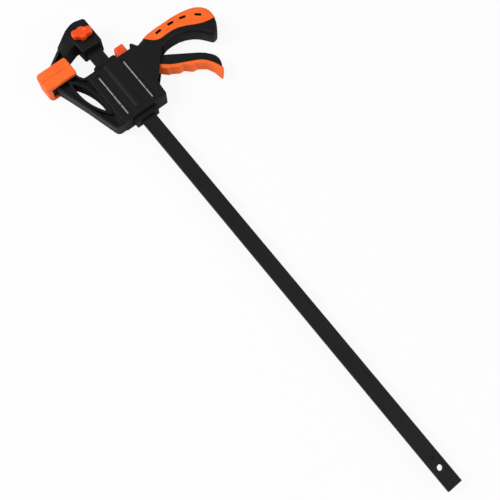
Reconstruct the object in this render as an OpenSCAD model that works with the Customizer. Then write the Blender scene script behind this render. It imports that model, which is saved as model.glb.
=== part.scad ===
// Quick release bar clamp: a jaw fixed to the head of a flat bar, and a sliding head that a
// trigger drives along the bar. Millimetres. The clamp lies on its back: X runs along the bar
// towards its tail, Y towards the handle and Z out of the front face. The source's own zero is
// on the bar's axis, midway between the closed pads; stand() moves it under the middle.

/* [Bar] */
// Widest opening between the pads
opening = 500; // [150:10:900]
// Width of the bar
bar_w = 19; // [16:0.2:23]
// Thickness of the bar
bar_t = 6; // [5:0.2:7.4]
// Chamfer along the bar's edges
bar_edge = 0.8; // [0.3:0.1:1.2]
// Length of the bar behind the closed pads, inside the fixed jaw
bar_head = 42; // [40:0.5:43]
// Diameter of the hanging hole in the tail
tail_hole_d = 7; // [5:0.5:9]
// Distance from the hanging hole to the end of the bar
tail_margin = 24.3; // [12:0.1:40]
// Distance from the pressed stop to the hanging hole
stop_to_hole = 13.5; // [10:0.5:20]
// Diameter of the pressed stop
stop_d = 5; // [4:0.5:7]
// Height of the pressed stop
stop_h = 1; // [0.7:0.1:1.5]

/* [Fixed jaw] */
// Thickness of the collar
collar_t = 25; // [22:0.5:30]
// Distance from the knob's axis to the closed pads
knob_x = 24; // [23:0.5:26]
// Diameter of the knob's stud
stud_d = 6; // [5:0.5:8]
// Width across the flats of the stud's nut
nut_flats = 10; // [9:0.5:14]
// Thickness of the stud's nut
nut_h = 5; // [4:0.5:6.5]

/* [Knob] */
// Length over the knob's wings
knob_len = 25.6; // [23:0.2:32]
// Width of a wing
wing_w = 10.8; // [9:0.2:14]
// Height of the knob
knob_h = 8; // [6.5:0.5:14]
// Diameter of the knob's hub
hub_d = 15.6; // [14:0.2:20]
// Turn of the knob's wings from the Y axis
knob_turn = -16; // [-90:1:90]

/* [Pads] */
// Width of a pad
pad_t = 28; // [26:0.5:34]
// Depth of a pad, away from the other one
pad_depth = 13; // [12:0.2:16]
// Thickness of a pad's pressing wall
pad_front = 4; // [3:0.2:5]
// Thickness of a pad's cheeks
pad_cheek = 3; // [2:0.2:4]
// Rounding of a pad's edges
pad_round = 1.8; // [1:0.2:2.8]
// Height of a pad's lower wall
pad_floor = 6; // [3:0.5:8]
// Distance from the bar's edge to a pad's top
pad_top = 25; // [24:0.5:28]
// Height of a pad
pad_h = 42.5; // [38:0.5:50]

/* [Body] */
// Thickness of the body
body_t = 25; // [24:0.5:32]
// Distance from the closed pads to the body's front wall
body_front = 25; // [25:0.5:30]
// Length of the body
body_len = 75.3; // [74:0.1:95]
// Thickness of the body's cheeks
cheek = 2.9; // [2.4:0.1:3.2]
// Thickness of the body's front wall
front_wall = 2.5; // [2:0.1:2.6]
// Rounding of the body's edges
body_round = 1.4; // [0.5:0.1:1.6]
// Length of the noses in front of and behind the body
nose_len = 7; // [5:0.2:8]
// Wall of a nose over and under the bar
nose_wall = 6.7; // [5:0.1:8]
// Wall of a nose beside the bar
nose_side = 4; // [3:0.1:5]
// Thickness of the jaw arms at the rim
arm_t = 18; // [14:0.5:18.5]
// Thickness of the web of the jaw arms
web_t = 7; // [5:0.5:9]
// Width of the rim round the jaw arms
rim_w = 3; // [2:0.2:4]

/* [Grip] */
// Difference between the thickness of the body and of the grip
grip_step = 0.5; // [0.3:0.1:1]
// Rounding of the grip's edges
grip_round = 4.6; // [2:0.2:5]
// Thickness of the orange insert
insert_t = 2.2; // [1.5:0.1:2.6]
// Height of the insert above the grip
insert_proud = 0.4; // [0:0.1:0.8]

/* [Trigger] */
// Diameter of the trigger's pin
pin_d = 5; // [4:0.2:6.4]
// Travel of the trigger in degrees
trigger_travel = 20; // [10:1:20]
// Distance from the pin to the middle of the nose that pushes the plates
nose_arm = 20.5; // [20:0.1:21]
// Radius of the pushing nose
nose_r = 3.5; // [3:0.1:4]

/* [Drive and brake] */
// Thickness of a drive plate and of the brake plate
plate_t = 3; // [2.4:0.1:3.6]
// Number of drive plates
plates = 2; // [1:1:2]
// Wire of the drive spring
drive_wire = 1.4; // [1:0.1:1.8]
// Turns of the drive spring
drive_turns = 7; // [5:1:9]
// Tilt of the brake plate when it grips
brake_tilt = 6; // [3:0.5:6]
// Outer diameter of the brake spring
brake_spring_d = 7; // [6:0.2:7.2]
// Wire of the brake spring
brake_wire = 0.9; // [0.6:0.1:1.1]
// Width of the release cap
cap_w = 14; // [11:0.5:15]

/* [Screws] */
// Diameter of a housing screw
screw_d = 2.9; // [2.5:0.1:3.5]
// Diameter of a screw's head
screw_head_d = 5.6; // [5:0.1:6.4]

/* [Clearances] */
// Running gap round the bar in the sliding head
bar_gap = 0.25; // [0.15:0.05:0.4]
// Gap round the bar in the plates' slots
slot_gap = 0.5; // [0.45:0.05:0.7]
// Gap between pieces that move past each other
run_gap = 0.5; // [0.35:0.05:0.6]
// Radial gap of pins and of the stud in their bores
pin_gap = 0.05; // [0.03:0.01:0.1]
// Gap between pieces that are fitted together
fit_gap = 0.1; // [0.05:0.05:0.2]

/* [Smoothness] */
// Degrees between the points of a rounded outline
arc_step = 12; // [10:1:20]
// Rings in a rounded edge
edge_rings = 3; // [2:1:3]

/* [Hidden] */
$fn = 96;

black_plastic = [0.15, 0.15, 0.155];
black_steel = [0.21, 0.21, 0.215];
bright_steel = [0.72, 0.73, 0.75];
pad_orange = [1.0, 0.43, 0.15];
knob_orange = [0.95, 0.32, 0.18];

FREE = -1;      // an outline corner's radius: as large as its two edges allow
far = 200;      // reach of a cut that leaves the part
under = 3;      // how far a half reaches under the parting plane before it is cut there

// A corner of an outline, [x, y, radius], with y measured out from the bar's upper or lower edge.
function above(x, y, r = 0) = [x, bar_w / 2 + y, r];
function below(x, y, r = 0) = [x, -bar_w / 2 - y, r];

// ---- Outlines: anticlockwise corners [x, y, radius], rounded by arcs ----

function unit(v) = v / norm(v);
function flat(p) = [p.x, p.y];

// The arc of corner b between a and c, with the whole outline moved inwards by d.
function corner_arc(a, b, c, d) =
    let (e = unit(flat(b) - flat(a)),
         f = unit(flat(c) - flat(b)),
         side = cross(e, f) > 0 ? 1 : -1,
         turn = acos(max(-1, min(1, e * f))),
         out_e = [e.y, -e.x],
         out_f = [f.y, -f.x],
         mitre = (out_e + out_f) / (1 + out_e * out_f),
         room = 0.48 * min(norm(flat(b) - flat(a)), norm(flat(c) - flat(b))),
         r = b.z == FREE ? room / tan(turn / 2) : b.z,
         q = side > 0 ? max(r - d, 0.4) : r + d,
         centre = flat(b) - mitre * (side * q + d),
         start = atan2(out_e.y, out_e.x),
         n = ceil(turn / arc_step))
    b.z == 0 || turn < 0.5
        ? [flat(b) - mitre * d]
        : [for (i = [0:n])
              let (t = start + side * turn * i / n)
              centre + side * q * [cos(t), sin(t)]];

function rounded(corners, d = 0) =
    let (n = len(corners))
    [for (i = [0:n - 1])
        for (p = corner_arc(corners[(i + n - 1) % n], corners[i], corners[(i + 1) % n], d)) p];

// A slab of an outline, moved inwards by d.
module slab(corners, low, high, d = 0)
    translate([0, 0, low]) linear_extrude(high - low) polygon(rounded(corners, d));

// A moulded block: an outline with its upper edge rounded, and its lower one too if it is not
// at the parting plane. The rounded shell runs on a little past each flat face and is cut there.
module soft_block(corners, low, high, r, d = 0, lower = true) {
    run_on = 0.25;
    rise = run_on * tan(45 / edge_rings);
    turns = [for (i = [0:edge_rings - 1]) let (a = 90 * i / edge_rings) r * [1 - cos(a), 1 - sin(a)]];
    top = concat([for (t = turns) [t.x, high - t.y]], [[r + run_on, high + rise]]);
    base = lower ? concat([[r + run_on, low - rise]],
                          [for (i = [edge_rings - 1:-1:0]) [turns[i].x, low + turns[i].y]])
                 : [[0, low]];
    rings = concat(base, top);
    n = len(rounded(corners));
    points = [for (ring = rings) for (p = rounded(corners, d + ring[0])) [p.x, p.y, ring[1]]];
    walls = [for (j = [0:len(rings) - 2]) for (i = [0:n - 1])
                [j * n + i, (j + 1) * n + i, (j + 1) * n + (i + 1) % n, j * n + (i + 1) % n]];
    difference() {
        polyhedron(points, concat([[for (i = [0:n - 1]) i]], walls,
                                  [[for (i = [n - 1:-1:0]) (len(rings) - 1) * n + i]]));
        block([-far, -far, high], [far, far, far]);
        if (lower) block([-far, -far, -far], [far, far, low]);
    }
}

// A box from one corner to the opposite one.
module block(a, b) translate(a) cube(b - a);

// A round rod along X that ends with the radius r2.
module rod_x(x, length, r, r2) translate([x, 0, 0]) rotate([0, 90, 0]) cylinder(length, r, r2);

// A coil spring along X that starts at x.
module coil_x(x, length, turns, radius, wire) {
    sides = 6;
    per_turn = 14;
    n = turns * per_turn;
    rise = (length - wire) / n;
    points = [for (i = [0:n]) for (j = [0:sides - 1])
                 let (t = 360 * i / per_turn, a = 360 * j / sides,
                      s = radius - wire / 2 + wire / 2 * cos(a))
                 [x + wire / 2 + rise * i + wire / 2 * sin(a), s * cos(t), s * sin(t)]];
    walls = [for (i = [0:n - 1]) for (j = [0:sides - 1])
                [i * sides + j, i * sides + (j + 1) % sides,
                 (i + 1) * sides + (j + 1) % sides, (i + 1) * sides + j]];
    polyhedron(points, concat([[for (j = [sides - 1:-1:0]) j]], walls,
                              [[for (j = [0:sides - 1]) n * sides + j]]));
}

// ---- Places that several pieces share ----

bar_top = bar_w / 2;
bar_face = bar_t / 2;
rear = body_front + body_len;
half = body_t / 2;
grip_half = half - grip_step / 2;
hollow = half - cheek;                       // half width of the space between the cheeks
nose_front = body_front - nose_len - 1;
nose_rear = rear + nose_len;
nose_half = bar_face + nose_side;
stop_x = nose_rear + opening + run_gap + stop_d / 2;
tail_hole_x = stop_x + stop_to_hole;
tail_x = tail_hole_x + tail_margin;

// drive: plates against the trigger's nose, spring behind them, seat at the rear
pivot = [55, bar_top + 30.5];
nose_mid = [56.2, pivot.y - nose_arm];
plates_x = nose_mid.x + nose_r + run_gap;
plates_rear = plates_x + plates * plate_t;
drive_travel = nose_arm * trigger_travel * PI / 180;
spring_seat = rear - 9.6;
spring_in = norm([bar_top, bar_face]) + 0.4;
spring_out = spring_in + drive_wire;
bore_r = spring_out + 0.45;
barrel_r = bore_r + 1.8;
plate_half = hollow - 0.6;
plate_high = bar_top + 15;
plate_low = bar_top + 3.5;
drive_front = body_front + 19.5;
drive_back = plates_rear + drive_travel + 2.5;

// brake: plate tilted about a notch under the bar, spring above the bar, cap on its upper end
notch = [body_front + 8, -bar_top - 6.5];
brake_back = body_front + 17;
brake_spring_y = bar_top + 0.7 + brake_spring_d / 2;
tab_low = 33;
tab_high = 46;
tab_half = 4.5;
cap_half = cap_w / 2;

// trigger
hub_r = 7;
boss_h = 1.3;
trigger_half = hollow - boss_h - 0.3;
finger_half = hollow - run_gap;
core_half = trigger_half - 2.5;
pin_half = hollow + 1.7;

// knob stack on the collar
collar_half = collar_t / 2;
shoulder_half = collar_half - 0.7;
washer_h = 1;
knob_low = collar_half + washer_h;
nut_low = -collar_half + 0.8;

// screws, from the back
screws = [below(34, 13.3), below(93, 14.8), above(93, 18.6), above(36.5, 34), above(60.5, 121)];
screw_seat = -half + 3.2;
screw_head_h = 1.9;
screw_tip = half - 3.5;

// ---- Outlines ----

collar = [below(-4.9, 3.9, 2), above(-4.9, 5.3, 2), above(-42.4, 5.3, 3.5), [-46.9, -0.5, FREE],
          below(-41.6, 5, 2), below(-34, 7.5, 4), below(-22, 5, 6)];

fixed_arm = [[-38, 0, 0], below(-41.8, 4, 0), below(-14.5, 46.2, 4), below(-12, 57, 0),
             below(-4.6, 57, 0), below(-4.6, 28.5, 0), below(-12.6, 25.8, 3), below(-18.6, 8.5, 8),
             [-20, 0, 0]];

moving_arm = [below(5, 28, 0), below(5, 54, 0), below(9, 57.6, 1), below(40, 46.6, FREE),
              below(rear, 30, 7), below(rear, 18.1, 0), below(body_front - 2.6, 18.1, 0),
              below(body_front - 2.6, 22, 3), below(body_front - 8, 25.3, 4)];

nose = [[nose_front, -bar_top - nose_wall, 5], [nose_rear, -bar_top - nose_wall, 1.5],
        [nose_rear, bar_top + nose_wall, 1.5], [nose_front, bar_top + nose_wall, 3]];

body_edge = [below(body_front, 19.5, 3), below(rear, 19.5, 3), above(rear, 24.3, 2.5),
             above(84, 25.6, 8), above(78.2, 26.4, 5), above(72.8, 33, 2.5),
             above(50.4, 53.8, 1.5), above(44, 50.5, 3), above(31, 48.5, 3),
             above(27.5, 34.8, 3), above(17.6, 29, 2.2), above(body_front, 25.1, 0)];

grip_edge = [above(27.6, 30, 0), above(58, 30, 0), above(58, 43.5, 0), above(47.6, 56, 6),
             above(44.3, 66, 20), above(44.3, 83.9, FREE), above(53, 103.6, FREE),
             above(71.7, 117.6, 4.5), above(70.4, 124.4, 4.5), above(55.2, 134.4, FREE),
             above(37.6, 134.4, FREE), above(26.6, 123.3, FREE), above(21.4, 104.2, FREE),
             above(20, 76.5, FREE), above(21.5, 52, 20)];

insert_edge = [above(10, 37, 0), above(29, 48.4, FREE), above(37.6, 59, FREE),
               above(35.9, 86, FREE), above(54.5, 121, FREE), above(53.2, 150, 0),
               above(10, 150, 0)];

// middles and directions of the four slots in each insert
insert_slots = [[above(28.2, 65.8), 95], [above(28, 84.3), 85],
                [above(30.3, 101), 76], [above(38.8, 118.5), 49]];

lever = [above(47.8, 27, 6), above(54, 22, 5), above(62.2, 29, 6), above(60.8, 40.2, 3),
         above(71, 50.4, FREE), above(89.6, 86.8, FREE), above(101.5, 95.3, FREE),
         above(113.6, 99.3, 1), above(97.4, 106.6, FREE), above(82, 95.8, FREE),
         above(54.8, 54.8, 6), above(48.2, 42, 8)];

finger_face = [above(59.5, 39.2, 1.5), above(63.8, 37.6, 2), above(73, 46.2, 3),
               above(74, 49.8, 3), above(80, 58.5, 4), above(79.7, 64, 4), above(88, 72.5, 4),
               above(88.3, 78.3, 4), above(95.3, 88, 6), above(104.5, 92.5, 10),
               above(118.9, 94.9, 1), above(113.8, 100.3, 1), above(101.4, 96.4, FREE),
               above(88.4, 87.2, FREE), above(70.4, 51, FREE)];

cap_edge = [above(10.4, 9.1, 4), above(31.5, 8.5, 1), above(31.5, 23, 1), above(10.4, 23, 2)];

// the swing of the trigger between the cheeks
swing = [above(46.6, 26, 3), above(62.6, 22, 0), above(76, 26.9, 0), above(110, 40, 0),
         above(60, 90, 0), above(46, 60, 2), above(42.8, 40, 4)];

// pockets that keep the moulding's walls even, [low corner, high corner]
core_outs = [[below(45, 17.5), below(86, 7.5)], [above(79.5, 7), above(87, 22)]];

// ---- Where the whole clamp stands ----

x_low = min([for (p = rounded(collar)) p.x]);
y_high = max([for (p = rounded(grip_edge, -insert_proud)) p.y]);
y_low = -bar_top - pad_top - pad_h;
back = max(pad_t / 2, barrel_r);

module stand() translate([-(x_low + tail_x) / 2, -(y_low + y_high) / 2, back]) children();

// ---- Fixed end ----

module bar() stand() color(black_steel) difference() {
    union() {
        translate([-bar_head, 0, 0]) rotate([90, 0, 90]) linear_extrude(tail_x + bar_head)
            polygon([for (q = [[-1, -1], [1, -1], [1, 1], [-1, 1]]) for (k = [0, 1])
                let (cut = (q.x * q.y > 0) == (k == 0) ? [0, bar_edge] : [bar_edge, 0])
                [q.x * (bar_top - cut.x), q.y * (bar_face - cut.y)]]);
        translate([stop_x, 0, -bar_face - stop_h]) cylinder(2 * stop_h, d = stop_d - 1);
    }
    translate([stop_x, 0, bar_face - stop_h]) cylinder(2 * stop_h, d = stop_d);
    translate([tail_hole_x, 0, -far / 2]) cylinder(far, d = tail_hole_d);
    translate([-knob_x, 0, -far / 2]) cylinder(far, d = stud_d + 4 * pin_gap);
}

// An arm's section: a rim round a thinner web.
module arm(outline) difference() {
    slab(outline, -arm_t / 2, arm_t / 2);
    for (z = [-arm_t / 2 - 1, web_t / 2]) slab(outline, z, z + (arm_t - web_t) / 2 + 1, rim_w);
}

// The plate at the end of an arm that a pad is pushed over.
module pad_plate() block([pad_front + fit_gap + 0.05, -bar_top - pad_top - pad_h + pad_floor + fit_gap,
                          -pad_t / 2 + pad_cheek + fit_gap],
                         [10, -bar_top - pad_top - 2.5 - fit_gap, pad_t / 2 - pad_cheek - fit_gap]);

module fixed_jaw() stand() color(black_plastic) difference() {
    union() {
        soft_block(collar, -collar_half, collar_half, body_round);
        arm(fixed_arm);
        // the shoulder that the pad butts against, as thick as the collar
        intersection() {
            slab(fixed_arm, -shoulder_half, shoulder_half);
            block([-far, -bar_top - pad_top + 0.5, -far], [far, 0, far]);
        }
        mirror([1, 0, 0]) pad_plate();
    }
    block([-bar_head - fit_gap, -bar_top - fit_gap, -bar_face - fit_gap],
          [0, bar_top + fit_gap, bar_face + fit_gap]);
    translate([-knob_x, 0, -far / 2]) cylinder(far, d = stud_d + 4 * pin_gap);
    translate([-knob_x, 0, -collar_half - 1])
        cylinder(nut_h + 1.8 + fit_gap, d = (nut_flats + 2 * fit_gap) / cos(30), $fn = 6);
}

// A pad over a jaw's plate, for the moving jaw.
module pad() {
    low = -bar_top - pad_top - pad_h;
    high = -bar_top - pad_top;
    gap = 0.15;
    shape = [[-pad_depth, low, 0], [pad_depth + gap, low, 5.5], [pad_depth + gap, high, 3],
             [-pad_depth, high, 0]];
    inner = pad_t / 2 - pad_cheek;
    difference() {
        soft_block(shape, -pad_t / 2, pad_t / 2, pad_round);
        block([-far, -far, -far], [gap, far, far]);
        block([pad_front + gap, low + pad_floor, -inner], [10 + fit_gap, high - 2.5, inner]);
        block([9, low + pad_floor, 1.6 - inner], [far, high - 2.5, inner - 1.6]);
        // notch for the arm
        block([7, high - 3, -arm_t / 2 - fit_gap], [far, high + 1, arm_t / 2 + fit_gap]);
    }
}

module fixed_pad() stand() color(pad_orange) mirror([1, 0, 0]) pad();

module moving_pad() stand() color(pad_orange) pad();

module jaw_nut() stand() color(bright_steel) translate([-knob_x, 0, nut_low]) difference() {
    cylinder(nut_h, d = nut_flats / cos(30), $fn = 6);
    translate([0, 0, -1]) cylinder(nut_h + 2, d = stud_d + 2 * pin_gap);
}

module knob_washer() stand() color(bright_steel) translate([-knob_x, 0, collar_half]) difference() {
    cylinder(washer_h - fit_gap, d = hub_d - 2);
    translate([0, 0, -1]) cylinder(3, d = stud_d + 4 * pin_gap);
}

module knob_stud() stand() color(bright_steel) translate([-knob_x, 0, nut_low - 0.4])
    cylinder(knob_low + knob_h - 3 - nut_low + 0.4, d = stud_d);

module knob() stand() color(knob_orange) translate([-knob_x, 0, knob_low]) rotate(knob_turn)
    difference() {
        union() {
            cylinder(knob_h - 2, d = hub_d);
            translate([0, 0, knob_h - 2.01]) cylinder(1.6, d1 = hub_d, d2 = hub_d - 4);
            wing = [[-wing_w / 2, -knob_len / 2, 5], [wing_w / 2, -knob_len / 2, 5],
                    [wing_w / 2, knob_len / 2, 5], [-wing_w / 2, knob_len / 2, 5]];
            soft_block(wing, 0, knob_h, 2);
        }
        for (s = [-1, 1]) for (t = [-1, 1])
            translate([s * (wing_w / 2 + 5.2), t * (knob_len / 2 - 5.2), -1]) cylinder(20, r = 6);
        translate([0, 0, knob_h + 11.5]) rotate([90, 0, 0]) sphere(13);
        translate([0, 0, -1]) cylinder(knob_h - 1.9, d = stud_d + 2 * fit_gap);
    }

// ---- Sliding head ----

// The lens-shaped window of the moving arm, grown by d.
module window(d, low, high) {
    chord = 56.8;
    sag = 6.1;
    r = (chord * chord / 4 + sag * sag) / (2 * sag);
    translate([47.1, -bar_top - 31.1, low]) rotate(13.5) linear_extrude(high - low)
        intersection_for (s = [-1, 1]) translate([0, s * (r - sag)]) circle(r + d);
}

module grip_core(d)
    soft_block(grip_edge, -2 * under, grip_half - insert_t, grip_round - 2, insert_t + d, false);

// Room for the bar, the brake and the drive, cut from the body.
module drive_room() {
    // way of the bar through both noses and the inner wall
    block([0, -bar_top - bar_gap, -far], [far, bar_top + bar_gap, bar_face + bar_gap]);
    // brake chamber, with the window of the release cap above the front nose
    block([body_front + front_wall, -bar_top - 8.5, -far], [brake_back, bar_top + 14, hollow]);
    block([nose_front, bar_top + nose_wall + 0.6, -far],
          [body_front + 14.5, bar_top + 24.5, cap_half + run_gap]);
    // drive chamber and spring bore
    block([drive_front, -bar_top - 4.5, -far], [drive_back, bar_top + 16, hollow]);
    rod_x(drive_front, spring_seat - drive_front, bore_r, bore_r);
    for (c = core_outs) let (a = c[0], b = c[1])
        block([min(a.x, b.x), min(a.y, b.y), -far], [max(a.x, b.x), max(a.y, b.y), hollow]);
}

// Room for the trigger's nose, its hub and its swing.
module trigger_room() {
    block([50, bar_top + 4, -far], [69.5, bar_top + 34, hollow]);
    translate([pivot.x, pivot.y, -far]) cylinder(far + hollow, r = hub_r + 1);
    slab(swing, -far, hollow);
}

// The body with its barrel and noses, from a little under the parting plane up to the front.
module body() difference() {
    union() {
        soft_block(body_edge, -under, half, body_round, 0, false);
        slab(nose, -nose_half, nose_half);
        rod_x(body_front + 0.8, spring_seat - body_front, barrel_r, barrel_r);
        rod_x(spring_seat, rear - spring_seat - 0.3, barrel_r, nose_half + 2);
    }
    drive_room();
    // long shallow panels beside the barrel
    for (s = [-1, 1]) slab([[body_front + 6, s * 18 - 4.5, 4], [rear - 3.5, s * 18 - 4.5, 4],
                            [rear - 3.5, s * 18 + 4.5, 4], [body_front + 6, s * 18 + 4.5, 4]],
                           half - 0.6, far);
}

// The hollow grip, with the recess of the insert and a post for its screw.
module grip() difference() {
    soft_block(grip_edge, -1.5 * under, grip_half, grip_round, 0, false);
    difference() {
        slab(insert_edge, -far, far);
        grip_core(0);
    }
    difference() {
        intersection() {
            slab(grip_edge, -far, hollow - 2, insert_t + 2);
            block([0, bar_top + 58, -far], [far, far, far]);
        }
        translate([screws[4].x, screws[4].y, -far]) cylinder(2 * far, r = screw_head_d / 2 + 1.6);
    }
}

module jaw_arm() difference() {
    union() {
        arm(moving_arm);
        window(rim_w, -arm_t / 2, arm_t / 2);
        pad_plate();
        // the thin neck from the arm up to the front nose
        block([body_front - 2.6, -bar_top - 21, -arm_t / 2], [body_front + 1.5, -bar_top - 2, arm_t / 2]);
    }
    window(0, -far, far);
}

// What stands inside the hollow: bosses for the pin and the notch of the brake plate.
module fittings() {
    translate([pivot.x, pivot.y, hollow - boss_h]) cylinder(boss_h + 1, r = pin_d / 2 + 2);
    for (s = [-1, 1]) let (x = notch.x + s * (plate_t / 2 + run_gap + 0.85))
        block([x - 0.85, notch.y - 3, 0], [x + 0.85, notch.y + 2, hollow + 1]);
}

// The half above the parting plane.
module head_half() difference() {
    union() {
        difference() {
            union() {
                body();
                grip();
                jaw_arm();
            }
            trigger_room();
            block([-far, -far, -far], [far, far, 0]);
        }
        fittings();
    }
    translate([pivot.x, pivot.y, 0]) cylinder(pin_half + 0.1, d = pin_d + 2 * pin_gap);
}

module housing_front() stand() color(black_plastic) difference() {
    head_half();
    for (p = screws) translate([p.x, p.y, -1]) cylinder(screw_tip + 1.5, d = screw_d + 2 * pin_gap);
}

module housing_back() stand() color(black_plastic) difference() {
    mirror([0, 0, 1]) head_half();
    for (p = screws) translate([p.x, p.y, 0]) {
        translate([0, 0, screw_seat - 1]) cylinder(far, d = screw_d + 4 * pin_gap);
        translate([0, 0, -far]) cylinder(far + screw_seat, d = screw_head_d + 2 * fit_gap);
    }
}

module housing_screws() stand() color(bright_steel) for (p = screws) translate([p.x, p.y, 0]) {
    translate([0, 0, screw_seat - 0.5]) cylinder(screw_tip - screw_seat + 0.5, d = screw_d);
    translate([0, 0, screw_seat - screw_head_h]) difference() {
        cylinder(screw_head_h, d = screw_head_d);
        for (a = [0, 90]) rotate(a) block([-1.8, -0.4, -1], [1.8, 0.4, 1.1]);
    }
}

// An insert of the grip, for the half above the parting plane.
module insert_half() difference() {
    intersection() {
        soft_block(grip_edge, -under, grip_half + insert_proud, grip_round, -insert_proud, false);
        slab(insert_edge, 0, far, fit_gap);
    }
    grip_core(-fit_gap);
    for (slot = insert_slots)
        translate([slot[0].x, slot[0].y, grip_half - insert_t - 1]) rotate(slot[1]) hull()
            for (x = [-2.3, 2.3]) translate([x, 0, 0]) cylinder(8, r = 1.05, $fn = 20);
}

module grip_insert_front() stand() color(pad_orange) insert_half();

module grip_insert_back() stand() color(pad_orange) mirror([0, 0, 1]) insert_half();

// ---- Trigger ----

module trigger_pin() stand() color(bright_steel)
    translate([pivot.x, pivot.y, -pin_half]) cylinder(2 * pin_half, d = pin_d);

module trigger() stand() color(black_plastic) difference() {
    union() {
        soft_block(lever, -trigger_half, trigger_half, 2);
        slab([[nose_mid.x - nose_r, nose_mid.y - nose_r, nose_r - 0.2],
              [nose_mid.x + nose_r, nose_mid.y - nose_r, nose_r - 0.2],
              [pivot.x + 5, pivot.y, 0], [pivot.x - 5.5, pivot.y, 0]], -5, 5);
    }
    // the finger face is moulded round a thinner core
    for (low = [-far, core_half]) slab(finger_face, low, low + far - core_half, -fit_gap);
    translate([pivot.x, pivot.y, -far / 2]) cylinder(far, d = pin_d + 2 * pin_gap);
}

module trigger_grip() stand() color(pad_orange) difference() {
    soft_block(finger_face, -finger_half, finger_half, 0.9);
    slab(lever, -core_half - fit_gap, core_half + fit_gap, -fit_gap);
}

// ---- Drive ----

// A plate's slot round the bar, along X.
module bar_slot(x, length) block([x, -bar_top - slot_gap, -bar_face - slot_gap],
                                 [x + length, bar_top + slot_gap, bar_face + slot_gap]);

module drive_plates() stand() color(bright_steel)
    for (i = [0:plates - 1]) translate([plates_x + i * plate_t, 0, 0]) difference() {
        rotate([90, 0, 90]) linear_extrude(plate_t - 0.02)
            polygon(rounded([[-plate_low, -plate_half, 2], [plate_high, -plate_half, 2],
                             [plate_high, plate_half, 2], [-plate_low, plate_half, 2]]));
        bar_slot(-1, plate_t + 2);
    }

module drive_spring() stand() color(bright_steel)
    coil_x(plates_rear + 0.2, spring_seat - plates_rear - 0.3, drive_turns, spring_out, drive_wire);

// ---- Brake ----

// Tilts a piece about the notch, as the brake plate is when it grips.
module tilted() translate([notch.x, notch.y, 0]) rotate(brake_tilt) children();

module brake_blade(d, high) {
    slab([[-plate_t / 2 - d, -plate_t / 2 - d, 1], [plate_t / 2 + d, -plate_t / 2 - d, 1],
          [plate_t / 2 + d, tab_low, 0], [-plate_t / 2 - d, tab_low, 0]],
         -plate_half - d, plate_half + d);
    block([-plate_t / 2 - d, tab_low - 1, -tab_half - d], [plate_t / 2 + d, high, tab_half + d]);
}

module brake_plate() stand() color(bright_steel) tilted() difference() {
    brake_blade(0, tab_high);
    translate([0, -notch.y, 0]) bar_slot(-plate_t, 2 * plate_t);
}

module release_cap() stand() color(knob_orange) difference() {
    soft_block(cap_edge, -cap_half, cap_half, 1.5);
    tilted() brake_blade(fit_gap, tab_high + fit_gap);
    for (y = [13.1, 16, 18.9]) translate([9.7, bar_top + y, -far / 2]) cylinder(far, r = 1.1);
}

module brake_spring() stand() color(bright_steel) {
    start = notch.x - (brake_spring_y - notch.y) * tan(brake_tilt) + plate_t / 2 / cos(brake_tilt)
            + brake_spring_d / 2 * tan(brake_tilt) + 0.1;
    translate([0, brake_spring_y, 0])
        coil_x(start, brake_back - 0.1 - start, 5, brake_spring_d / 2, brake_wire);
}

bar();
fixed_jaw();
fixed_pad();
jaw_nut();
knob_washer();
knob();
knob_stud();
housing_front();
housing_back();
moving_pad();
grip_insert_front();
grip_insert_back();
housing_screws();
trigger_pin();
trigger();
trigger_grip();
drive_plates();
drive_spring();
brake_plate();
release_cap();
brake_spring();
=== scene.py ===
import math

import bpy
from mathutils import Matrix, Vector


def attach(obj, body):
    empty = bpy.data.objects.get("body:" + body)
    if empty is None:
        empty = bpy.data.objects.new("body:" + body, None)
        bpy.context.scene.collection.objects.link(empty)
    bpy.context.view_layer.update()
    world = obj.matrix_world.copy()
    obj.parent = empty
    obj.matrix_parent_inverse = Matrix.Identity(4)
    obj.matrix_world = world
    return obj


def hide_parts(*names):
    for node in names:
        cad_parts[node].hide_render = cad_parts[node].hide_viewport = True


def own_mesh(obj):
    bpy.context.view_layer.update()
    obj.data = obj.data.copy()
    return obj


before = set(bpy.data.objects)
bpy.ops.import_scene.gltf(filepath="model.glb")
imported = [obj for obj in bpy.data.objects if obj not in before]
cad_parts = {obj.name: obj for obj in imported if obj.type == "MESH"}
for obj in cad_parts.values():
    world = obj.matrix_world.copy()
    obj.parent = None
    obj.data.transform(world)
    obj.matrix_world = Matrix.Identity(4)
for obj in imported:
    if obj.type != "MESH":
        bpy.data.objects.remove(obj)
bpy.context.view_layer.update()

MM = 0.001

# The middle plane of the clamp, at which its mouldings part, above what it lies on.
MIDDLE_PLANE_MM = 14.012

# The bar's axis, midway between the closed pads, in the frame of the whole clamp.
PADS = Vector((-301.187, -33.65, MIDDLE_PLANE_MM)) * MM

# Each slot of a grip insert: its middle in X and Y from PADS, in millimetres, and the lie of its
# length, in degrees.
GRIP_SLOTS = [(28.2, 75.3, 95), (28.0, 93.8, 85), (30.3, 110.5, 76), (38.8, 128.0, 49)]


def place(x, y, z):
    """A point given in millimetres from the bar's axis between the closed pads."""
    return PADS + Vector((x, y, z)) * MM


# ---- Working on objects and meshes ----

def only(piece):
    """Makes the piece the one that is selected and worked on."""
    bpy.ops.object.select_all(action="DESELECT")
    piece.select_set(True)
    bpy.context.view_layer.objects.active = piece


def named(name):
    """Names the object that an operator has just added."""
    piece = bpy.context.active_object
    piece.name = name
    return piece


def finish_with(piece, kind, **values):
    """Adds one modifier with its values and applies it."""
    only(piece)
    modifier = piece.modifiers.new(kind.title(), kind)
    for name, value in values.items():
        setattr(modifier, name, value)
    bpy.ops.object.modifier_apply(modifier=modifier.name)


def settle(piece):
    """Puts a piece's place into its mesh, so that its object sits at the origin."""
    only(piece)
    bpy.ops.object.transform_apply(location=True, rotation=True, scale=True)


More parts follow.
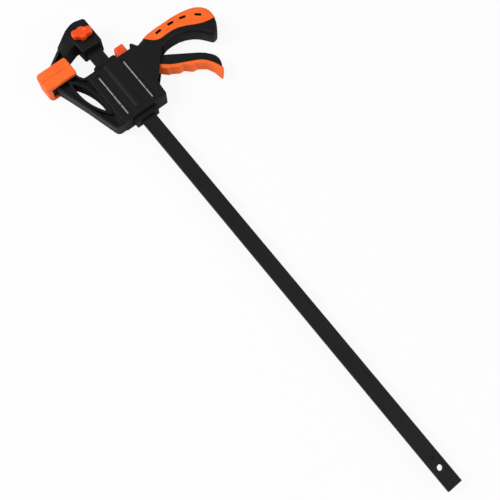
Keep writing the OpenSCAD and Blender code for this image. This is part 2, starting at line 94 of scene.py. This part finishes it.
def pick_faces(piece, wanted):
    """Selects the faces that pass the test and no others, and gives them back."""
    only(piece)
    bpy.ops.object.mode_set(mode="EDIT")
    bpy.ops.mesh.select_mode(type="FACE")
    bpy.ops.mesh.select_all(action="DESELECT")
    bpy.ops.object.mode_set(mode="OBJECT")
    picked = [face for face in piece.data.polygons if wanted(face)]
    for face in picked:
        face.select = True
    return picked


def moulded(node, body):
    """A copy of a node with its rounded edges shaded smooth and its flats kept flat."""
    sliver, flat_within, smooth_below = 0.004 * MM, math.radians(0.3), math.radians(38)
    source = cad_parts[node]
    piece = source.copy()
    piece.data = source.data.copy()
    piece.parent = None
    # the marks of a CAD node stay with the node
    for key in list(piece.keys()):
        del piece[key]
    piece.name = node + "_moulded"
    bpy.context.scene.collection.objects.link(piece)
    only(piece)
    bpy.ops.object.mode_set(mode="EDIT")
    bpy.ops.mesh.select_all(action="SELECT")
    bpy.ops.mesh.remove_doubles(threshold=sliver)
    # each flat becomes one face, so that its shading stays even up to its rounded edge
    bpy.ops.mesh.dissolve_limited(angle_limit=flat_within)
    bpy.ops.object.mode_set(mode="OBJECT")
    bpy.ops.object.shade_smooth_by_angle(angle=smooth_below, keep_sharp_edges=False)
    finish_with(piece, "WEIGHTED_NORMAL", keep_sharp=True, weight=50)
    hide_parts(node)
    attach(piece, body)
    return piece


# ---- Materials ----

class Finish:
    """A material with its Principled shader and the object's own coordinates."""

    def __init__(self, name, roughness, specular, metallic=0.0):
        self.material = bpy.data.materials.new(name)
        self.material.use_nodes = True
        self.nodes = self.material.node_tree.nodes
        self.links = self.material.node_tree.links
        self.shader = self.nodes["Principled BSDF"]
        self.shader.inputs["Roughness"].default_value = roughness
        self.shader.inputs["Specular IOR Level"].default_value = specular
        self.shader.inputs["Metallic"].default_value = metallic
        self.where = self.nodes.new("ShaderNodeTexCoord").outputs["Object"]

    def on(self, piece):
        """Gives the piece this finish and no other."""
        piece.data.materials.clear()
        piece.data.materials.append(self.material)

    # Patterns

    def noise(self, size_mm, detail=3.0, stretch=(1, 1, 1)):
        """Noise with features of about that size, drawn out where the stretch is under 1."""
        mapping = self.nodes.new("ShaderNodeMapping")
        mapping.inputs["Scale"].default_value = stretch
        self.links.new(self.where, mapping.inputs["Vector"])
        noise = self.nodes.new("ShaderNodeTexNoise")
        noise.inputs["Scale"].default_value = 1.0 / (size_mm * MM)
        noise.inputs["Detail"].default_value = detail
        noise.inputs["Roughness"].default_value = 0.55
        self.links.new(mapping.outputs["Vector"], noise.inputs["Vector"])
        return noise.outputs["Fac"]

    def cells(self, size_mm):
        """Small round cells, as a spark-eroded mould leaves."""
        cells = self.nodes.new("ShaderNodeTexVoronoi")
        cells.inputs["Scale"].default_value = 1.0 / (size_mm * MM)
        self.links.new(self.where, cells.inputs["Vector"])
        return cells.outputs["Distance"]

    def along(self, axis, steps):
        """The place along an axis, taken through (operation, number) steps."""
        parts = self.nodes.new("ShaderNodeSeparateXYZ")
        self.links.new(self.where, parts.inputs["Vector"])
        value = parts.outputs[axis]
        for operation, number in steps:
            step = self.nodes.new("ShaderNodeMath")
            step.operation = operation
            step.inputs[1].default_value = number
            self.links.new(value, step.inputs[0])
            value = step.outputs["Value"]
        return value

    def seam(self, height_mm, width_mm):
        """0 on a level plane and 1 from that distance away from it on."""
        away = self.along("Z", [("SUBTRACT", height_mm * MM), ("ABSOLUTE", 0.0)])
        return self.span(away, 0.0, 1.0, 0.0, width_mm * MM)

    def ribs(self, first_mm, pitch_mm):
        """Rounded ribs across Y, with a groove at the first place, from 0 to 1."""
        turns = 2 * math.pi / (pitch_mm * MM)
        wave = self.along("Y", [("SUBTRACT", first_mm * MM), ("MULTIPLY", turns), ("COSINE", 0.0)])
        return self.span(wave, 1.0, 0.0, -1.0, 1.0)

    # Values made from values

    def span(self, value, low, high, start=0.3, end=0.7):
        """A value carried from start..end over to low..high."""
        span = self.nodes.new("ShaderNodeMapRange")
        span.inputs["From Min"].default_value = start
        span.inputs["From Max"].default_value = end
        span.inputs["To Min"].default_value = low
        span.inputs["To Max"].default_value = high
        self.links.new(value, span.inputs["Value"])
        return span.outputs["Result"]

    def blend(self, first, second, share):
        """Two values added up, the second by its share."""
        blend = self.nodes.new("ShaderNodeMath")
        blend.operation = "MULTIPLY_ADD"
        blend.inputs[1].default_value = share
        self.links.new(second, blend.inputs[0])
        self.links.new(first, blend.inputs[2])
        return blend.outputs["Value"]

    # What they do to the shader

    def colour(self, value, stops):
        """A colour that follows a value, from (place, colour) stops."""
        ramp = self.nodes.new("ShaderNodeValToRGB")
        points = ramp.color_ramp.elements
        while len(points) < len(stops):
            points.new(0.5)
        for point, (at, colour) in zip(points, stops):
            point.position = at
            point.color = (*colour, 1.0)
        self.links.new(value, ramp.inputs["Fac"])
        self.links.new(ramp.outputs["Color"], self.shader.inputs["Base Color"])

    def roughness(self, value, low, high):
        """A roughness that follows a value, from low to high."""
        self.links.new(self.span(value, low, high), self.shader.inputs["Roughness"])

    def relief(self, height, depth_mm, strength=1.0):
        """A bump of that depth."""
        bump = self.nodes.new("ShaderNodeBump")
        bump.inputs["Strength"].default_value = strength
        bump.inputs["Distance"].default_value = depth_mm * MM
        self.links.new(height, bump.inputs["Height"])
        self.links.new(bump.outputs["Normal"], self.shader.inputs["Normal"])


def filled_nylon():
    """Black glass-filled nylon with a fine spark-eroded grain and its moulding line."""
    finish = Finish("filled_nylon", roughness=0.46, specular=0.17)
    finish.colour(finish.noise(26), [
        (0.25, (0.0052, 0.0052, 0.0055)),
        (0.5, (0.006, 0.006, 0.0064)),
        (0.8, (0.007, 0.007, 0.0074))])
    finish.roughness(finish.noise(9, detail=6), 0.47, 0.53)
    grain = finish.blend(finish.cells(0.55), finish.noise(0.25, detail=2), 0.6)
    line = finish.seam(MIDDLE_PLANE_MM, width_mm=0.16)
    finish.relief(finish.blend(grain, line, 2.5), 0.06, 0.7)
    return finish


def phosphated_steel():
    """The bar's black phosphate coat, drawn along its length and a little cloudy."""
    finish = Finish("phosphated_steel", roughness=0.42, specular=0.22, metallic=0.15)
    drawn = finish.noise(1.2, detail=5, stretch=(0.03, 1, 1))
    cloud = finish.noise(38, stretch=(0.4, 1, 1))
    finish.colour(finish.blend(finish.span(drawn, 0.2, 0.5), cloud, 0.6), [
        (0.3, (0.005, 0.005, 0.0053)),
        (0.6, (0.0075, 0.0075, 0.0078)),
        (0.9, (0.012, 0.012, 0.0125))])
    finish.roughness(finish.noise(9, detail=5, stretch=(0.15, 1, 1)), 0.36, 0.52)
    finish.relief(drawn, 0.012, 0.5)
    return finish


def orange_rubber():
    """Soft yellowish orange rubber of the pads and the hand pieces."""
    finish = Finish("orange_rubber", roughness=0.52, specular=0.35)
    finish.colour(finish.noise(16, detail=4), [
        (0.25, (0.86, 0.112, 0.0085)),
        (0.5, (0.92, 0.135, 0.0115)),
        (0.8, (0.97, 0.158, 0.016))])
    finish.roughness(finish.noise(4, detail=5), 0.46, 0.62)
    finish.relief(finish.blend(finish.cells(0.7), finish.noise(0.3, detail=2), 0.5), 0.05, 0.6)
    return finish


def red_orange_plastic(name, ribbed=False):
    """Smooth reddish orange plastic of the knob, and of the release cap with its thumb ribs."""
    finish = Finish(name, roughness=0.3, specular=0.32)
    finish.colour(finish.noise(7), [(0.3, (0.84, 0.062, 0.004)), (0.7, (0.93, 0.088, 0.007))])
    finish.roughness(finish.noise(3, detail=4), 0.25, 0.38)
    grain = finish.noise(0.5)
    if ribbed:
        # the grooves of the cap's thumb face run on over its sides
        grooves = finish.ribs(first_mm=-8.15, pitch_mm=2.9)
        finish.relief(finish.blend(grain, grooves, 35.0), 0.01)
    else:
        finish.relief(grain, 0.01, 0.4)
    return finish


def zinc_plate():
    """Zinc plate on turned and headed steel."""
    finish = Finish("zinc_plate", roughness=0.3, specular=0.5, metallic=1.0)
    finish.colour(finish.noise(2.5, detail=4), [
        (0.3, (0.52, 0.53, 0.56)),
        (0.7, (0.66, 0.67, 0.69))])
    finish.roughness(finish.noise(1.5, detail=4), 0.24, 0.42)
    finish.relief(finish.noise(0.35), 0.006, 0.4)
    return finish


def stamped_steel():
    """Bare stamped steel of the plates, a little oily."""
    finish = Finish("stamped_steel", roughness=0.36, specular=0.5, metallic=1.0)
    grain = finish.noise(0.8, detail=5, stretch=(1, 0.08, 1))
    finish.colour(grain, [(0.3, (0.34, 0.34, 0.35)), (0.7, (0.5, 0.5, 0.51))])
    finish.roughness(finish.noise(3, detail=4), 0.28, 0.46)
    finish.relief(grain, 0.01, 0.4)
    return finish


def spring_wire():
    """Drawn spring wire with a thin oxide."""
    finish = Finish("spring_wire", roughness=0.34, specular=0.5, metallic=1.0)
    finish.colour(finish.noise(0.6, detail=4), [
        (0.3, (0.28, 0.27, 0.27)),
        (0.7, (0.42, 0.41, 0.41))])
    finish.roughness(finish.noise(0.9), 0.28, 0.42)
    return finish


def pale_ink():
    """Matt pale grey ink, printed a little unevenly."""
    finish = Finish("pale_ink", roughness=0.6, specular=0.3)
    finish.colour(finish.noise(1.4, detail=4), [(0.3, (0.3, 0.3, 0.3)), (0.6, (0.44, 0.44, 0.44))])
    finish.roughness(finish.noise(0.8), 0.52, 0.68)
    return finish


# ---- The grip's slots and the printed marks ----

def slotted(insert, painted_slot_shade):
    """Opens the four slots of a grip insert a little and gives their rubber walls the black nylon
    finish as painted shade, standing in for the shade inside the slots.
    """
    reach, longer, wider = 3.6 * MM, 1.3, 1.6
    # painted shade: the slot walls of the orange rubber insert are coloured black as the shade
    # inside each slot
    insert.data.materials.append(painted_slot_shade.material)
    painted_shade_index = len(insert.data.materials) - 1
    for x, y, lie in GRIP_SLOTS:
        middle = place(x, y, 0)

        def is_wall(face):
            """An upright face within reach of the slot's middle."""
            return abs(face.normal.z) < 0.5 and (face.center - middle).xy.length < reach

        # each slot wall takes the black finish as painted shade
        for face in pick_faces(insert, is_wall):
            face.material_index = painted_shade_index
        bpy.ops.object.mode_set(mode="EDIT")
        bpy.ops.transform.resize(value=(longer, wider, 1), center_override=middle,
                                 orient_matrix=Matrix.Rotation(math.radians(lie), 3, "Z"),
                                 orient_matrix_type="GLOBAL")
        bpy.ops.object.mode_set(mode="OBJECT")


def printed_marks(name, middle_y):
    """A row of short printed dashes along one of the two panels beside the barrel."""
    middle_x, panel_z = 64, 11.9
    length, height, film = 58.0, 1.5, 0.04
    cells = 145
    bpy.ops.mesh.primitive_grid_add(x_subdivisions=cells, y_subdivisions=1, size=1.0,
                                    location=place(middle_x, middle_y, panel_z + film))
    marks = named(name)
    marks.scale = (length * MM, height * MM, 1)
    settle(marks)
    start = place(middle_x - length / 2, 0, 0).x

    def is_space(face):
        """One cell after each dash, and two more after each group of dashes."""
        cell = int((face.center.x - start) / (length * MM) * cells)
        return cell % 4 == 3 or cell % 37 in (35, 36)

    pick_faces(marks, is_space)
    bpy.ops.object.mode_set(mode="EDIT")
    bpy.ops.mesh.delete(type="FACE")
    bpy.ops.object.mode_set(mode="OBJECT")
    finish_with(marks, "SOLIDIFY", thickness=film * MM, offset=-1)
    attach(marks, "head")
    return marks


# ---- Floor, light and camera ----

def camera_mix(tree, plain, seen, share=1.0):
    """The plain shader, with the seen one mixed in by its share where the camera looks at it."""
    path = tree.nodes.new("ShaderNodeLightPath")
    part = tree.nodes.new("ShaderNodeMath")
    part.operation = "MULTIPLY"
    part.inputs[1].default_value = share
    tree.links.new(path.outputs["Is Camera Ray"], part.inputs[0])
    mix = tree.nodes.new("ShaderNodeMixShader")
    tree.links.new(part.outputs["Value"], mix.inputs["Fac"])
    tree.links.new(plain, mix.inputs[1])
    tree.links.new(seen, mix.inputs[2])
    return mix.outputs["Shader"]


def pale_floor():
    """A wide floor that is nearly white to the camera and keeps a soft shadow."""
    bpy.ops.mesh.primitive_plane_add(size=12, location=(0, 0, 0))
    floor = named("floor")
    material = bpy.data.materials.new("pale_floor")
    material.use_nodes = True
    tree = material.node_tree
    tree.nodes.clear()
    matt = tree.nodes.new("ShaderNodeBsdfDiffuse")
    matt.inputs["Color"].default_value = (0.8, 0.8, 0.8, 1)
    white = tree.nodes.new("ShaderNodeEmission")
    white.inputs["Strength"].default_value = 1.0
    output = tree.nodes.new("ShaderNodeOutputMaterial")
    surface = camera_mix(tree, matt.outputs["BSDF"], white.outputs["Emission"], share=0.9)
    tree.links.new(surface, output.inputs["Surface"])
    floor.data.materials.append(material)


def soft_lamp(name, at, aim, size, power):
    """A round area lamp, turned to what it lights."""
    bpy.ops.object.light_add(type="AREA", location=at)
    lamp = named(name)
    lamp.data.shape = "DISK"
    lamp.data.size = size
    lamp.data.energy = power
    lamp.rotation_euler = (Vector(aim) - Vector(at)).to_track_quat("-Z", "Y").to_euler()


def studio_light():
    """Two soft lamps in a room that is white to the camera and lights with half of that."""
    soft_lamp("key_lamp", at=(-0.9, -1.3, 1.5), aim=(-0.15, 0, 0), size=1.2, power=28)
    soft_lamp("fill_lamp", at=(1.5, 0.9, 1.2), aim=(0.1, 0, 0), size=1.4, power=16)
    world = bpy.data.worlds.new("studio")
    world.use_nodes = True
    tree = world.node_tree
    room = tree.nodes["Background"]
    seen = tree.nodes.new("ShaderNodeBackground")
    for background, strength in [(room, 0.5), (seen, 1.0)]:
        background.inputs["Color"].default_value = (1, 1, 1, 1)
        background.inputs["Strength"].default_value = strength
    surface = camera_mix(tree, room.outputs["Background"], seen.outputs["Background"])
    tree.links.new(surface, tree.nodes["World Output"].inputs["Surface"])
    bpy.context.scene.world = world


def front_camera():
    """Looks down at the clamp as it lies, a little from the pads' side and the tail."""
    bpy.ops.object.camera_add()
    camera = named("camera")
    view = Matrix.Translation(place(469.9, -172.55, 833.3))
    for degrees, axis in [(10.859, "Y"), (11.0, "X"), (52.439, "Z")]:
        view = view @ Matrix.Rotation(math.radians(degrees), 4, axis)
    camera.matrix_world = view
    camera.data.sensor_width = 36.0
    camera.data.lens = 54.35
    camera.data.clip_start = 0.01
    bpy.context.scene.camera = camera


# ---- The clamp ----

def clamp():
    """Every piece of the clamp with its finish, and a mesh of its own for each spring."""
    nylon, steel_bar, rubber = filled_nylon(), phosphated_steel(), orange_rubber()
    knob_red = red_orange_plastic("knob_plastic")
    cap_red = red_orange_plastic("ribbed_plastic", ribbed=True)
    zinc, stamped, wire = zinc_plate(), stamped_steel(), spring_wire()

    for node, body, finish in [
            ("fixed_jaw", "bar_and_fixed_jaw", nylon),
            ("fixed_pad", "bar_and_fixed_jaw", rubber),
            ("knob", "knob", knob_red),
            ("housing_front", "head", nylon),
            ("housing_back", "head", nylon),
            ("moving_pad", "head", rubber),
            ("grip_insert_front", "head", rubber),
            ("grip_insert_back", "head", rubber),
            ("trigger", "trigger", nylon),
            ("trigger_grip", "trigger", rubber),
            ("release_cap", "brake", cap_red),
            ("drive_spring", "head", wire),
            ("brake_spring", "head", wire)]:
        finish.on(moulded(node, body))
    for side in ["front", "back"]:
        slotted(bpy.data.objects["grip_insert_" + side + "_moulded"], nylon)

    for node, finish in [
            ("bar", steel_bar), ("jaw_nut", zinc), ("knob_washer", zinc), ("knob_stud", zinc),
            ("housing_screws", zinc), ("trigger_pin", stamped), ("drive_plates", stamped),
            ("brake_plate", stamped)]:
        finish.on(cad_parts[node])

    # each moulded spring gets a mesh of its own
    for node, joint, seat, keep in [("drive_spring", "trigger_squeeze", 90.6, 0.703),
                                    ("brake_spring", "brake_release", 41.9, 0.72)]:
        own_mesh(bpy.data.objects[node + "_moulded"])

    ink = pale_ink()
    for name, middle_y in [("upper_marks", 18), ("lower_marks", -18)]:
        ink.on(printed_marks(name, middle_y))


clamp()
pale_floor()
studio_light()
front_camera()
bpy.context.scene.view_settings.view_transform = "Standard"
